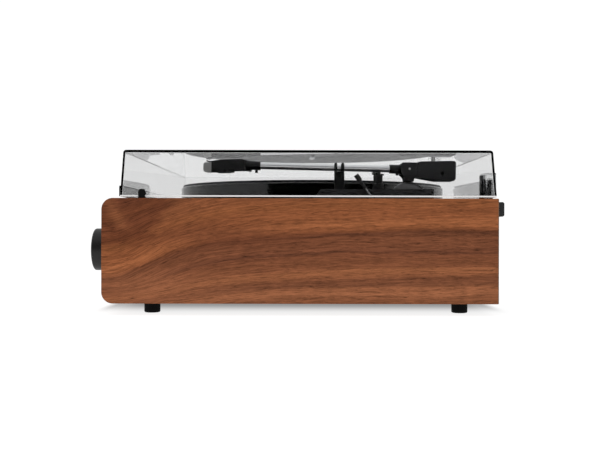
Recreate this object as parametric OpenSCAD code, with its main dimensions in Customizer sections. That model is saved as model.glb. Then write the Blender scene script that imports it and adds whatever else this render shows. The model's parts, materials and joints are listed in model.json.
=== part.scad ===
// Belt-drive record player with a wooden plinth and a hinged clear dust cover.
// Millimetres. +Z is up, -Y is the front, +X is the right-hand side with the tonearm.
// The origin is at the centre of the footprint, on the surface that the feet stand on.

/* [Plinth] */
// Width of the plinth, left to right
plinth_w = 404; // [402:1:420]
// Depth of the plinth, front to back
plinth_d = 350; // [348:1:352]
// Height of the plinth without its feet
plinth_h = 93; // [92:1:110]
// Thickness of each side panel
side_t = 15; // [12:1:16]
// Thickness of the front and rear panels
panel_t = 12; // [9:1:14]
// Radius of the plinth's front edges
front_r = 10; // [6:1:11]
// Thickness of the top deck
deck_t = 9; // [6:1:9]
// Thickness of the bottom cover
bottom_t = 5; // [4:1:6]
// Height of each foot
foot_h = 10.5; // [8:0.5:14]
// Diameter of each foot
foot_d = 14.6; // [13:0.2:22]

/* [Platter] */
// Spindle axis, left to right
platter_x = -38; // [-42:1:-36]
// Spindle axis, front to back
platter_y = 13; // [10:1:15]
// Diameter of the platter
platter_d = 300; // [298:1:302]
// Height of the platter's rim
platter_h = 15; // [14:0.5:16]
// Gap between the deck and the platter
platter_gap = 4; // [4:0.5:5]
// Thickness of the slipmat
mat_t = 2.3; // [1.5:0.1:2.5]
// Radius of the spindle
spindle_r = 3.57; // [3.5:0.01:3.6]

/* [Tonearm] */
// Tonearm pivot, left to right
arm_x = 126; // [125:1:127]
// Tonearm pivot, front to back
arm_y = 104.3; // [104:0.1:105]
// Height of the arm platform above the deck
platform_h = 10.2; // [9.8:0.1:10.4]
// Height of the lifting axis above the deck
pitch_h = 30.5; // [30.3:0.1:30.6]
// Angle by which the raised tonearm tips up
arm_lift = 1.35; // [1:0.05:1.4]
// Radius of the arm tube
tube_r = 3.25; // [3:0.05:3.3]
// Offset angle of the headshell
offset_angle = 22; // [18:1:24]

/* [Dust cover] */
// Height of the cover's top above the deck
cover_h = 43; // [43:0.5:50]
// Wall thickness of the cover
cover_t = 1.8; // [1.5:0.1:1.8]
// Gap between the deck and the cover's rim
rim_gap = 1.3; // [1:0.1:1.5]

/* [Controls] */
// Diameter of the volume knob
knob_d = 39; // [30:0.5:42]
// Distance of the volume knob right of the centre
knob_x = 155; // [140:1:160]

/* [Hidden] */
$fn = 96;
eps = 0.01;
run_fit = 0.05;
half_w = plinth_w / 2;
half_d = plinth_d / 2;
inner_w = half_w - side_t;
deck_z = foot_h + plinth_h;
deck_under = deck_z - deck_t;
floor_z = foot_h + bottom_t;
lip = 20;
deck_y0 = -half_d + lip;
deck_y1 = half_d - panel_t;
knob_reach = 16.2;

foot_x = 170;
foot_y = [-135.4, 146];

rim_z = deck_z + platter_gap;
plate_z = rim_z + platter_h;
mat_z = plate_z + mat_t;
rim_t = 4.5;
plate_t = 4;
ring_r = 110;
ring_t = 3.5;
hub_r = 14;
seat_z = rim_z + 3;
spindle_top = mat_z + 7.2;
shaft_r = spindle_r + 0.43;
label_r = 52;
label_h = 0.7;
bearing_r = 9;
bearing_z0 = deck_z - 42;
bearing_z1 = deck_z + 2.6;
bush_r = 5;
spindle_z0 = bearing_z0 + 5;

belt_t = 0.8;
belt_h = 5;
belt_gap = 0.3;
pulley_r = 6;
pulley_dist = 128;
pulley_angle = 135;
motor_x = platter_x + pulley_dist * cos(pulley_angle);
motor_y = platter_y + pulley_dist * sin(pulley_angle);
belt_z = rim_z + 3.8;
motor_r = 18;
motor_h = 30;
motor_top = deck_under - 4.5;
mount_pitch = 50;

platform_z = deck_z + platform_h;
pitch_z = deck_z + pitch_h;
lever_x = arm_x + 32.8;
lever_y = 66;
lever_z = deck_z + 2.6;
lever_reach = [-14.3, 20.6];
lift_r = 33;
lift_top = pitch_z - 2.8;
post_angle = 23;
rest_y = 37.1;
prong_x = [arm_x + 4.2, arm_x + 9.4];
head_start = -152.8;

cover_z0 = deck_z + rim_gap;
cover_z1 = deck_z + cover_h;
cover_bottom = [198, -159.6, 174];
cover_top = [195, -157.2, 171.2];

hinge_x = 150;
hinge_y = half_d + 7.6;
hinge_z = deck_z - 8.9;
hinge_r = 5.8;
hinge_w = 30;
barrel_w = 14.4;
pin_r = 1.8;

knob_z = deck_z - plinth_h / 2;
speed_x = -160;
speed_y = -118;
jack_z = foot_h + 42;

// ---------------------------------------------------------------- helpers

// Box between two corners
module block(low, high) {
    translate(low) cube(high - low);
}

// Flat outline in Y and Z, drawn out along X
module along_x(x0, x1) {
    translate([x0, 0, 0]) rotate([90, 0, 90]) linear_extrude(x1 - x0) children();
}

// Flat outline in X and Z, drawn out along Y
module along_y(y0, y1) {
    translate([0, y1, 0]) rotate([90, 0, 0]) linear_extrude(y1 - y0) children();
}

// Round bars along each axis
module rod_x(x0, x1, y, z, r) {
    translate([x0, y, z]) rotate([0, 90, 0]) cylinder(r = r, h = x1 - x0);
}

module rod_y(y0, y1, x, z, r) {
    translate([x, y1, z]) rotate([90, 0, 0]) cylinder(r = r, h = y1 - y0);
}

module rod_z(z0, z1, x, y, r) {
    translate([x, y, z0]) cylinder(r = r, h = z1 - z0);
}

// Rectangle with round corners, centred
module round_rect(w, d, r) {
    square([w - 2 * r, d], center = true);
    square([w, d - 2 * r], center = true);
    for (sx = [-1, 1], sy = [-1, 1])
        translate([sx * (w / 2 - r), sy * (d / 2 - r)]) circle(r);
}

// Plate with round corners, standing on z = 0
module round_plate(w, d, h, r) {
    linear_extrude(h) round_rect(w, d, r);
}

// Pan-head screw with a cross recess, head up, its shank going down from z = 0
module screw(shank_r, head_r, head_h, length) {
    difference() {
        cylinder(r = head_r, h = head_h, $fn = 48);
        for (a = [0, 90])
            rotate([0, 0, a]) translate([-head_r * 0.6, -head_r * 0.12, head_h * 0.45])
                cube([head_r * 1.2, head_r * 0.24, head_h]);
    }
    translate([0, 0, -length]) cylinder(r = shank_r, h = length, $fn = 48);
}

// Copies on both sides of the X = 0 plane
module both_sides() {
    for (s = [-1, 1]) scale_side(s) children();
}

module scale_side(s) {
    if (s > 0) children();
    else mirror([1, 0, 0]) children();
}

// ---------------------------------------------------------------- plinth

// Side outline of the plinth: round front corners, square back corners
module plinth_outline() {
    translate([-half_d + front_r, foot_h]) square([plinth_d - front_r, plinth_h]);
    translate([-half_d, foot_h + front_r]) square([front_r + eps, plinth_h - 2 * front_r]);
    for (z = [foot_h + front_r, deck_z - front_r])
        translate([-half_d + front_r, z]) circle(front_r);
}

module side_panel(x0) {
    color("sienna") along_x(x0, x0 + side_t) plinth_outline();
}

module side_panel_left() {
    side_panel(-half_w);
}

module side_panel_right() {
    side_panel(inner_w);
}

// Front panel with short returns at the top and bottom, bored for the pot and the lamp
module front_panel() {
    color("sienna") difference() {
        along_x(-inner_w, inner_w) difference() {
            intersection() {
                plinth_outline();
                translate([-half_d, foot_h]) square([lip, plinth_h]);
            }
            translate([-half_d + panel_t, foot_h + panel_t])
                square([lip, plinth_h - 2 * panel_t]);
        }
        rod_y(-half_d - 1, -half_d + panel_t + 1, knob_x, knob_z, 4);
        rod_y(-half_d - 1, -half_d + panel_t + 1, knob_x - 35, knob_z, 1.6);
    }
}

// Top deck with its openings for the bearing, motor, arm bearing and speed switch
module top_deck() {
    color([0.09, 0.09, 0.09]) difference() {
        block([-inner_w, deck_y0, deck_under], [inner_w, deck_y1, deck_z]);
        rod_z(deck_under - 1, deck_z + 1, platter_x, platter_y, bearing_r + 0.3);
        rod_z(deck_under - 1, deck_z + 1, motor_x, motor_y, 11);
        rod_z(deck_under - 1, deck_z + 1, arm_x, arm_y, 7.3);
        rod_z(deck_under - 1, deck_z + 1, speed_x, speed_y, 4);
        at_deck_screws() rod_z(-1, 6, 0, 0, 1.52);
    }
}

module rear_panel() {
    color([0.11, 0.1, 0.1]) difference() {
        block([-inner_w, deck_y1, foot_h], [inner_w, half_d, deck_z]);
        for (x = [-15, 30])
            translate([x, 0, jack_z]) along_y(deck_y1 - 1, half_d + 1) square([36, 18], center = true);
    }
}

// Bottom cover with air slots and holes for the foot screws
module bottom_cover() {
    color([0.14, 0.13, 0.12]) difference() {
        block([-inner_w, deck_y0, foot_h], [inner_w, deck_y1, floor_z]);
        for (i = [0:6])
            translate([-120 + i * 12, -40, foot_h - 1]) round_plate(4, 50, bottom_t + 2, 1.9);
        for (sx = [-1, 1], y = foot_y)
            rod_z(foot_h - 1, floor_z + 1, sx * foot_x, y, 1.6);
    }
}

// Glue blocks in the four inner corners
module corner_blocks() {
    color("burlywood") for (sx = [-1, 1], y = [deck_y0 + 9, deck_y1 - 9])
        translate([sx * (inner_w - 9), y, floor_z + 0.2])
            translate([-9, -9, 0]) cube([18, 18, deck_under - floor_z - 0.4]);
}

// Four short feet, each recessed below for its screw
module rubber_feet() {
    color([0.05, 0.05, 0.05]) for (sx = [-1, 1], y = foot_y)
        translate([sx * foot_x, y, 0]) difference() {
            rotate_extrude() polygon([
                [0, 0], [foot_d / 2 - 0.8, 0], [foot_d / 2, 0.8], [foot_d / 2, foot_h], [0, foot_h]
            ]);
            translate([0, 0, -1]) cylinder(r = 3.8, h = 5);
            translate([0, 0, -1]) cylinder(r = 1.6, h = foot_h + 2);
        }
}

// Screws that hold the feet to the bottom cover
module case_screws() {
    color("silver") for (sx = [-1, 1], y = foot_y)
        translate([sx * foot_x, y, 4]) mirror([0, 0, 1]) screw(1.5, 3, 1.8, foot_h + bottom_t - 4.2);
}

// ---------------------------------------------------------------- platter and bearing

module bearing_housing() {
    color("gray") translate([platter_x, platter_y, 0]) difference() {
        union() {
            rod_z(bearing_z0, bearing_z1, 0, 0, bearing_r);
            rod_z(deck_under - 3, deck_under, 0, 0, 24);
        }
        rod_z(bearing_z0 + 3, bearing_z1 + 1, 0, 0, bush_r);
        for (a = [30:120:270])
            rotate([0, 0, a]) rod_z(deck_under - 4, deck_under + 1, 18, 0, 1.7);
    }
}

module bearing_bush() {
    color("goldenrod") translate([platter_x, platter_y, 0]) difference() {
        rod_z(bearing_z0 + 6, bearing_z1, 0, 0, bush_r);
        rod_z(bearing_z0 + 5, bearing_z1 + 1, 0, 0, shaft_r + run_fit);
    }
}

module thrust_pad() {
    color("white") rod_z(bearing_z0 + 3, spindle_z0 - run_fit, platter_x, platter_y, bush_r - 0.1);
}

// Spindle: a shaft with the collar that carries the platter, and a round-tipped pin for the record
module spindle() {
    tip = 2.6;
    color("silver") translate([platter_x, platter_y, 0]) {
        rod_z(spindle_z0, mat_z - label_h, 0, 0, shaft_r);
        rod_z(mat_z - label_h - 1, spindle_top - tip, 0, 0, spindle_r);
        rod_z(seat_z - 3.2, seat_z, 0, 0, 8);
        translate([0, 0, spindle_top - tip]) intersection() {
            cylinder(r = spindle_r, h = tip);
            translate([0, 0, tip - spindle_r - 0.3]) sphere(r = spindle_r + 0.3);
        }
    }
}

// Cast platter: rim, plate, drive ring, ribs and hub, with two openings to reach the pulley
module platter() {
    r = platter_d / 2;
    bore = shaft_r + 0.03;
    color([0.06, 0.06, 0.06]) translate([platter_x, platter_y, 0]) difference() {
        union() {
            rotate_extrude($fn = 180) {
                translate([bore, plate_z - plate_t]) square([r - bore - 1, plate_t]);
                polygon([
                    [r - rim_t, rim_z], [r - 0.8, rim_z], [r, rim_z + 0.8],
                    [r, plate_z - 1], [r - 1, plate_z], [r - rim_t, plate_z]
                ]);
                translate([ring_r - ring_t, rim_z + 1]) square([ring_t, platter_h - 1.5]);
                for (rib_r = [46, 77])
                    translate([rib_r, seat_z]) square([2.4, plate_z - seat_z - 1]);
                translate([bore, seat_z]) square([hub_r - bore, plate_z - seat_z - 1]);
            }
            for (a = [22.5:45:360])
                rotate([0, 0, a])
                    block([hub_r - 1, -1.2, seat_z + 1], [ring_r - 1, 1.2, plate_z - 1]);
        }
        for (a = [45, 225])
            rotate([0, 0, a]) rod_z(rim_z, plate_z + 1, pulley_dist, 0, 11);
    }
}

// Rubber slipmat with raised rings and a recess for the label
module slipmat() {
    r = platter_d / 2 - 2;
    color([0.09, 0.09, 0.1]) translate([platter_x, platter_y, plate_z]) difference() {
        cylinder(r = r, h = mat_t, $fn = 180);
        translate([0, 0, -1]) cylinder(r = shaft_r + 0.2, h = mat_t + 2);
        translate([0, 0, mat_t - label_h]) cylinder(r = label_r, h = 1);
        for (i = [0:4])
            translate([0, 0, mat_t - 0.6]) difference() {
                cylinder(r = 66 + 17 * i + 3, h = 1);
                translate([0, 0, -1]) cylinder(r = 66 + 17 * i, h = 3);
            }
    }
}

// ---------------------------------------------------------------- motor and belt

module at_motor() {
    translate([motor_x, motor_y, 0]) children();
}

// Screw places under the deck: two for the motor plate, three for the bearing flange
module at_deck_screws() {
    for (s = [-1, 1])
        translate([motor_x + s * mount_pitch / 2, motor_y, deck_under]) children();
    translate([platter_x, platter_y, deck_under]) for (a = [30:120:270])
        rotate([0, 0, a]) translate([18, 0, 0]) children();
}

module motor_can() {
    color("darkgray") at_motor() difference() {
        union() {
            rod_z(motor_top - motor_h, motor_top, 0, 0, motor_r);
            rod_z(motor_top - 1, motor_top + 4, 0, 0, 5);
        }
        rod_z(motor_top - motor_h + 1.2, motor_top - 1.2, 0, 0, motor_r - 1.2);
        rod_z(motor_top - motor_h + 0.5, motor_top + 5, 0, 0, 1 + run_fit);
    }
}

// Steel plate that hangs the motor under the deck
module motor_plate() {
    color("lightgray") at_motor() translate([0, 0, motor_top]) difference() {
        round_plate(mount_pitch + 14, 34, 1.5, 7);
        translate([0, 0, -1]) cylinder(r = 5.2, h = 4);
        for (s = [-1, 1])
            translate([s * mount_pitch / 2, 0, -1]) cylinder(r = 3, h = 4);
    }
}

// Rubber grommets between the motor plate and the deck
module motor_grommets() {
    color([0.1, 0.1, 0.1]) at_motor() for (s = [-1, 1])
        translate([s * mount_pitch / 2, 0, 0]) difference() {
            union() {
                rod_z(motor_top - 2, motor_top - 0.05, 0, 0, 5);
                rod_z(motor_top - 0.1, motor_top + 1.6, 0, 0, 2.9);
                rod_z(motor_top + 1.55, deck_under, 0, 0, 5);
            }
            rod_z(motor_top - 3, deck_under + 1, 0, 0, 1.7);
        }
}

module motor_rotor() {
    color("dimgray") at_motor() {
        rod_z(motor_top - motor_h + 0.8, belt_z + belt_h + 1, 0, 0, 1);
        rod_z(motor_top - motor_h + 5, motor_top - 5, 0, 0, 12);
    }
}

module motor_pulley() {
    z0 = belt_z - 1.6;
    z1 = belt_z + belt_h + 1.4;
    color("goldenrod") at_motor() rotate_extrude() difference() {
        union() {
            translate([0, z0]) square([pulley_r + 1.2, 1.1]);
            translate([0, z0]) square([pulley_r, z1 - z0]);
            translate([0, z1 - 0.9]) square([pulley_r + 1.2, 0.9]);
        }
        translate([-1, z0 - 1]) square([2.02, z1 - z0 + 2]);
    }
}

// Flat belt: an arc round the drive ring, an arc round the pulley and two straight runs
module drive_belt() {
    r1 = ring_r + belt_gap;
    r2 = pulley_r + belt_gap;
    lean = asin((r1 - r2) / pulley_dist);
    run = pulley_dist * cos(lean);
    open_angle = 90 - lean;
    color([0.08, 0.07, 0.07])
        translate([platter_x, platter_y, belt_z]) rotate([0, 0, pulley_angle]) {
            rotate([0, 0, open_angle]) rotate_extrude(angle = 360 - 2 * open_angle, $fn = 180)
                translate([r1, 0]) square([belt_t, belt_h]);
            translate([pulley_dist, 0, 0]) rotate([0, 0, -open_angle])
                rotate_extrude(angle = 2 * open_angle) translate([r2, 0]) square([belt_t, belt_h]);
            for (s = [-1, 1])
                rotate([0, 0, s * open_angle])
                    translate([r1, s > 0 ? -run : 0, 0]) cube([belt_t, run, belt_h]);
        }
}

// M3 screws: motor, bearing housing and rear jack plate
module machine_screws() {
    color("silver") {
        at_motor() for (s = [-1, 1])
            translate([s * mount_pitch / 2, 0, motor_top - 2]) mirror([0, 0, 1])
                screw(1.5, 3, 1.8, deck_under - motor_top + 7);
        translate([platter_x, platter_y, deck_under - 3]) for (a = [30:120:270])
            rotate([0, 0, a]) translate([18, 0, 0]) mirror([0, 0, 1]) screw(1.5, 3, 1.8, 8);
        for (s = [-1, 1])
            translate([s * 60, half_d + 2, jack_z]) rotate([-90, 0, 0]) screw(1.5, 3, 1.8, 2);
    }
}

// ---------------------------------------------------------------- arm platform and lift

// Raised island that carries the tonearm, the rest and the lift
module arm_platform() {
    y0 = 11.3;
    y1 = arm_y + 21.2;
    x0 = arm_x - 8;
    x1 = arm_x + 30;
    slope = 7.6;
    color([0.1, 0.1, 0.1]) difference() {
        intersection() {
            translate([0, 0, deck_z]) linear_extrude(platform_h) {
                translate([(x0 + x1) / 2, (y0 + y1) / 2]) round_rect(x1 - x0, y1 - y0, 4);
                translate([arm_x, arm_y]) circle(21.2);
            }
            along_x(x0 - 30, x1 + 1) polygon([
                [y0, deck_z], [y0 + slope, platform_z], [y1, platform_z], [y1, deck_z]
            ]);
        }
        rod_z(deck_z - 1, platform_z + 1, arm_x, arm_y, 7.3);
        at_lift_post() rod_z(deck_z + 1, platform_z + 1, 0, 0, 2.5);
    }
}

// Domed base of the pivot
module pivot_base() {
    color([0.2, 0.2, 0.2]) translate([arm_x, arm_y, platform_z]) rotate_extrude() difference() {
        intersection() {
            translate([0, -9.2]) circle(17.9);
            square([15.6, 8.2]);
        }
        translate([0, -1]) square([4.2, 12]);
    }
}

// Bush that guides the vertical arm post
module arm_bearing() {
    color("goldenrod") translate([arm_x, arm_y, 0]) difference() {
        union() {
            rod_z(deck_under - 10, platform_z, 0, 0, 7);
            rod_z(platform_z - 1, platform_z + 8, 0, 0, 4.15);
        }
        rod_z(deck_under - 11, platform_z + 9, 0, 0, 3 + run_fit);
    }
}

module at_lift_post() {
    translate([arm_x, arm_y, 0]) rotate([0, 0, post_angle - 90])
        translate([lift_r, 0, 0]) children();
}

// Post of the lift, with the stepped guide that its plunger slides in
module cue_column() {
    color([0.08, 0.08, 0.08]) at_lift_post() difference() {
        union() {
            rod_z(platform_z, platform_z + 6, 0, 0, 5.4);
            rod_z(platform_z + 5, lift_top - 3.4, 0, 0, 4.4);
        }
        rod_z(platform_z - 1, lift_top - 3, 0, 0, 2.2 + run_fit);
    }
}

// Plunger with the curved bar that lifts the tube anywhere in its swing
module cue_lift() {
    inner_end = 232;
    outer_end = 296;
    color([0.12, 0.12, 0.12]) {
        at_lift_post() rod_z(deck_z + 3, lift_top - 1, 0, 0, 2.2);
        translate([arm_x, arm_y, lift_top - 1.8]) {
            rotate([0, 0, inner_end - 8]) rotate_extrude(angle = outer_end - inner_end + 8)
                translate([lift_r - 2, 0]) square([4, 1.8]);
        }
    }
}

// Arm rest: a fork with two tall prongs outside the tube and a low cradle under it
module arm_rest() {
    ears = [[-4.6, -1.9], [1.9, 4.9]];
    top = deck_z + 36.4;
    round_r = 1.2;
    color([0.06, 0.06, 0.06]) difference() {
        union() {
            block([prong_x[0], rest_y - 4.6, platform_z], [prong_x[1], rest_y + 4.9, deck_z + 22.2]);
            for (e = ears) {
                block([prong_x[0], rest_y + e[0], deck_z + 22], [prong_x[1], rest_y + e[1], top - round_r]);
                rod_x(prong_x[0], prong_x[1], rest_y + (e[0] + e[1]) / 2, top - round_r, round_r);
            }
            block([arm_x - 5, rest_y - 3.4, platform_z], [prong_x[0] + 1, rest_y + 3.4, pitch_z - 2.1]);
        }
        rod_y(rest_y - 5, rest_y + 5, arm_x, pitch_z, tube_r + 0.5);
    }
}

// Lift lever: a bent wire with a soft tip, hinged on the platform's right side
module cue_lever() {
    tip = [lever_y + lever_reach[0], lever_z + lever_reach[1]];
    length = norm(lever_reach);
    tilt = atan2(-lever_reach[0], lever_reach[1]);
    color("silver") rod_x(arm_x + 30.2, lever_x + 1.5, lever_y, lever_z, 2);
    translate([lever_x, lever_y, lever_z]) rotate([tilt, 0, 0]) {
        color("silver") cylinder(r = 0.9, h = length * 0.5);
        color([0.05, 0.05, 0.05]) translate([0, 0, length * 0.38]) cylinder(r = 1.6, h = length * 0.4);
        color([0.05, 0.05, 0.05]) translate([0, 0, length * 0.74])
            cylinder(r = 2.4, h = length * 0.26);
    }
}

// ---------------------------------------------------------------- tonearm

// Frame of the arm: origin on the lifting axis, level arm, tipped up by arm_lift
module on_arm() {
    translate([arm_x, arm_y, pitch_z]) rotate([-arm_lift, 0, 0]) children();
}

// Frame of the head: origin where the tube ends, -Y along the headshell
module on_head() {
    on_arm() translate([0, head_start, 0]) rotate([0, 0, -offset_angle]) children();
}

module arm_post() {
    color("silver") {
        rod_z(deck_under - 12, platform_z + 8.4, arm_x, arm_y, 3);
        rod_z(deck_under - 13.4, deck_under - 10.4, arm_x, arm_y, 6);
    }
}

// Yoke: a forked housing that turns on the post and carries the lifting axis
module arm_yoke() {
    base = platform_z + 8.4;
    color([0.13, 0.13, 0.13]) difference() {
        along_x(arm_x - 11.5, arm_x + 11.5) polygon([
            [arm_y - 4.4, base], [arm_y + 4.2, base],
            [arm_y + 4.6, base + 2.6], [arm_y + 7.2, base + 5.2], [arm_y + 7.2, pitch_z + 6.1],
            [arm_y - 6.6, pitch_z + 6.1], [arm_y - 7.9, pitch_z + 4.8],
            [arm_y - 7.9, base + 7.4], [arm_y - 4.9, base + 3.2]
        ]);
        block([arm_x - 8, arm_y - 9, base + 5], [arm_x + 8, arm_y + 9, pitch_z + 7]);
        for (s = [-1, 1])
            translate([arm_x + s * 12, arm_y, base - 1]) rotate([0, s * 14, 0])
                block([-3, -10, -2], [5, 10, 6.5]);
        rod_x(arm_x - 12, arm_x + 12, arm_y, pitch_z, 1.6);
    }
}

// Pointed screws of the lifting axis
module pivot_screws() {
    color("silver") for (s = [0, 180])
        translate([arm_x, arm_y, pitch_z]) rotate([0, 0, s]) {
            rod_x(4.6, 9, 0, 0, 1);
            difference() {
                rod_x(8.2, 11.7, 0, 0, 1.55);
                block([11.1, -2, -0.25], [12, 2, 0.25]);
            }
        }
}

// Straight arm tube
module arm_tube() {
    color("lightsteelblue") on_arm() difference() {
        rod_y(head_start, -5, 0, 0, tube_r);
        rod_y(head_start - 1, -4, 0, 0, tube_r - 0.8);
    }
}

// Gimbal block with the front collar that clamps the tube
module gimbal_block() {
    color([0.12, 0.12, 0.12]) on_arm() difference() {
        union() {
            block([-7.5, -7, -4.4], [7.5, 7.6, 5]);
            rod_y(-18.3, -6.9, 0, 0, 4.3);
            rod_z(-6, -3, 0, -10.6, 1.4);
        }
        rod_y(-19, -5, 0, 0, tube_r + 0.02);
        rod_x(-8, 8, 0, 0, 1 + run_fit);
    }
}

// Rear housing that holds the counterweight
module tail_housing() {
    color([0.13, 0.13, 0.13]) on_arm() difference() {
        along_x(-11, 11) polygon([
            [7.6, -7.8], [26, -10.7], [42.7, -10.4], [44.3, -8.8],
            [44.3, 7.2], [42.9, 8.5], [40, 8.6], [10.6, 7.4], [7.6, 6.6]
        ]);
        rod_y(14, 42.2, 0, -1.4, 7.6);
        rod_x(8.3, 12, 31.5, -3.2, 2);
    }
}

module counterweight() {
    color("dimgray") on_arm() rod_y(15, 42, 0, -1.4, 7.5);
}

// Set screw that locks the counterweight
module tail_screw() {
    color([0.05, 0.05, 0.05]) on_arm() difference() {
        rod_x(8.35, 10.4, 31.5, -3.2, 1.9);
        rod_x(9.4, 11, 31.5, -3.2, 0.9);
    }
}

// Collar and locking screw that join the headshell to the tube
module headshell_collar() {
    color([0.07, 0.07, 0.07]) on_arm() difference() {
        union() {
            rod_y(head_start + 0.02, head_start + 9.8, 0, 0, 4.3);
            rod_z(-7, -4, 0, head_start + 6, 1.3);
        }
        rod_y(head_start - 1, head_start + 11, 0, 0, tube_r + 0.02);
    }
}

// Moulded headshell: an open channel that arches from the collar to its front edge
module headshell() {
    half = 8;
    color([0.06, 0.06, 0.06]) {
        on_arm() rod_y(head_start - 6, head_start, 0, 0, 4.6);
        on_head() difference() {
            along_x(-half, half) polygon([
                [-2.4, -5.6], [-8, -5], [-23.5, -5.1], [-25, -7], [-38.4, -7],
                [-38.4, 4.2], [-29, 5.3], [-6, 5.8], [-2.4, 4.8]
            ]);
            block([-half + 1.6, -40, -8], [half - 1.6, -12, 1.8]);
            for (s = [-1, 1])
                rod_z(0, 7, s * 4.4, -30, 1.2);
        }
    }
}

// Cartridge body held inside the headshell by two screws
module cartridge() {
    color([0.1, 0.1, 0.11]) on_head() {
        block([-6.2, -38.6, -6.6], [6.2, -20, 1.7]);
        for (s = [-1, 1])
            rod_z(1.6, 4.9, s * 4.4, -30, 1.1);
    }
}

// Stylus holder with its cantilever and tip
module stylus() {
    color("gainsboro") on_head() {
        along_x(-5, 5) polygon([
            [-38.7, -6.4], [-47.4, -6.4], [-48.9, -4.6], [-48.9, 1.4], [-47.6, 2.9], [-38.7, 2.9]
        ]);
        rod_y(-46.8, -40, 0, -6.5, 0.4);
        rod_z(-7.5, -6.5, 0, -46.4, 0.25);
    }
}

// Finger lift: a thin upturned tab on the headshell's front edge
module finger_lift() {
    color([0.05, 0.05, 0.05]) on_head() along_x(-3.6, 3.6)
        polygon([[-38.45, 3.2], [-44, 3.2], [-46.6, 4.1], [-46.6, 5.2], [-43, 4.5], [-38.45, 4.2]]);
}

// ---------------------------------------------------------------- controls and electronics

module volume_pot() {
    color("slategray") difference() {
        union() {
            translate([knob_x - 8, -half_d + panel_t, knob_z - 8]) cube([16, 9, 16]);
            rod_y(-half_d + 2, -half_d + panel_t + 1, knob_x, knob_z, 3.9);
        }
        rod_y(-half_d, -half_d + panel_t + 10, knob_x, knob_z, 3 + run_fit);
    }
}

// Volume knob with its shaft, a round front edge and a pointer groove
module volume_knob() {
    back = -half_d - 0.4;
    front = -half_d - knob_reach;
    r = knob_d / 2;
    edge = 1.6;
    color([0.06, 0.06, 0.06]) difference() {
        union() {
            translate([knob_x, back, knob_z]) rotate([90, 0, 0]) rotate_extrude() {
                square([r, back - front - edge]);
                square([r - edge, back - front]);
                translate([r - edge, back - front - edge]) circle(edge, $fn = 48);
            }
            rod_y(back - 1, -half_d + panel_t + 8, knob_x, knob_z, 3);
        }
        translate([knob_x, front, knob_z]) rotate([0, -40, 0])
            block([-0.5, -1, r * 0.45], [0.5, 0.5, r - 0.4]);
    }
}

module speed_switch() {
    color("slategray") translate([speed_x, speed_y, 0]) difference() {
        union() {
            translate([0, 0, deck_under - 12]) round_plate(22, 22, 12, 2);
            rod_z(deck_under - 1, deck_z - 0.5, 0, 0, 3.9);
        }
        rod_z(deck_under - 10, deck_z + 1, 0, 0, 2.5 + run_fit);
    }
}

// Speed selector with a raised grip bar
module speed_knob() {
    color([0.06, 0.06, 0.06]) translate([speed_x, speed_y, 0]) {
        rod_z(deck_under - 8, deck_z + 1, 0, 0, 2.5);
        rod_z(deck_z + 0.4, deck_z + 4, 0, 0, 13);
        translate([0, 0, deck_z + 3.9]) round_plate(6, 24, 5, 2.9);
    }
}

module power_led() {
    color("tomato") {
        rod_y(-half_d - 0.3, -half_d + panel_t + 2, knob_x - 35, knob_z, 1.5);
        rod_y(-half_d + panel_t, -half_d + panel_t + 1.4, knob_x - 35, knob_z, 2.2);
    }
}

// Circuit board on four spacers
module main_board() {
    color("darkgreen") translate([70, -70, floor_z]) {
        for (x = [-38, 38], y = [-26, 26])
            translate([x, y, 0]) cylinder(r = 3, h = 8);
        translate([-44, -32, 7.9]) cube([88, 64, 1.6]);
    }
}

module board_components() {
    z = floor_z + 9.5;
    color("dimgray") translate([70, -70, z]) {
        for (i = [0:2])
            translate([-32 + i * 13, 20, 0]) cylinder(r = 5, h = 14);
        for (i = [0:3])
            translate([-36 + i * 14, -24, 0]) cube([9, 6, 2.4]);
        translate([-10, -8, 0]) cube([14, 14, 2]);
        for (i = [0:4])
            translate([16, -10 + i * 4, 0]) cube([20, 1.6, 16]);
        translate([16, -10, 0]) cube([20, 17.6, 3]);
    }
}

// Plate that carries the rear sockets
module jack_plate() {
    color([0.07, 0.07, 0.07]) difference() {
        translate([0, 0, jack_z]) along_y(half_d, half_d + 2) round_rect(130, 34, 3);
        for (x = [-24, -6])
            rod_y(half_d - 1, half_d + 3, x, jack_z, 5);
        rod_y(half_d - 1, half_d + 3, 40, jack_z, 5);
        rod_y(half_d - 1, half_d + 3, 20, jack_z, 4);
        for (s = [-1, 1])
            rod_y(half_d - 1, half_d + 3, s * 60, jack_z, 1.7);
    }
}

// Power inlet and 3.5 mm audio socket
module power_jacks() {
    color([0.12, 0.12, 0.12]) {
        difference() {
            union() {
                rod_y(half_d - 4, half_d + 2.6, 40, jack_z, 4.95);
                block([34, half_d - 14, jack_z - 6], [46, half_d - 3.9, jack_z + 6]);
            }
            rod_y(half_d - 9, half_d + 4, 40, jack_z, 2.9);
        }
        rod_y(half_d - 10, half_d + 1.6, 40, jack_z, 1);
        difference() {
            union() {
                rod_y(half_d - 4, half_d + 2.6, 20, jack_z, 3.95);
                block([15, half_d - 18, jack_z - 5], [25, half_d - 3.9, jack_z + 5]);
            }
            rod_y(half_d - 14, half_d + 4, 20, jack_z, 1.8);
        }
    }
}

// Pair of phono line-out sockets
module phono_sockets() {
    color("gold") for (x = [-24, -6])
        difference() {
            union() {
                rod_y(half_d - 4, half_d + 2.6, x, jack_z, 4.95);
                rod_y(half_d + 2.5, half_d + 10.6, x, jack_z, 4.15);
            }
            rod_y(half_d + 1, half_d + 11, x, jack_z, 1.7);
        }
}

// ---------------------------------------------------------------- dust cover and hinges

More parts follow.
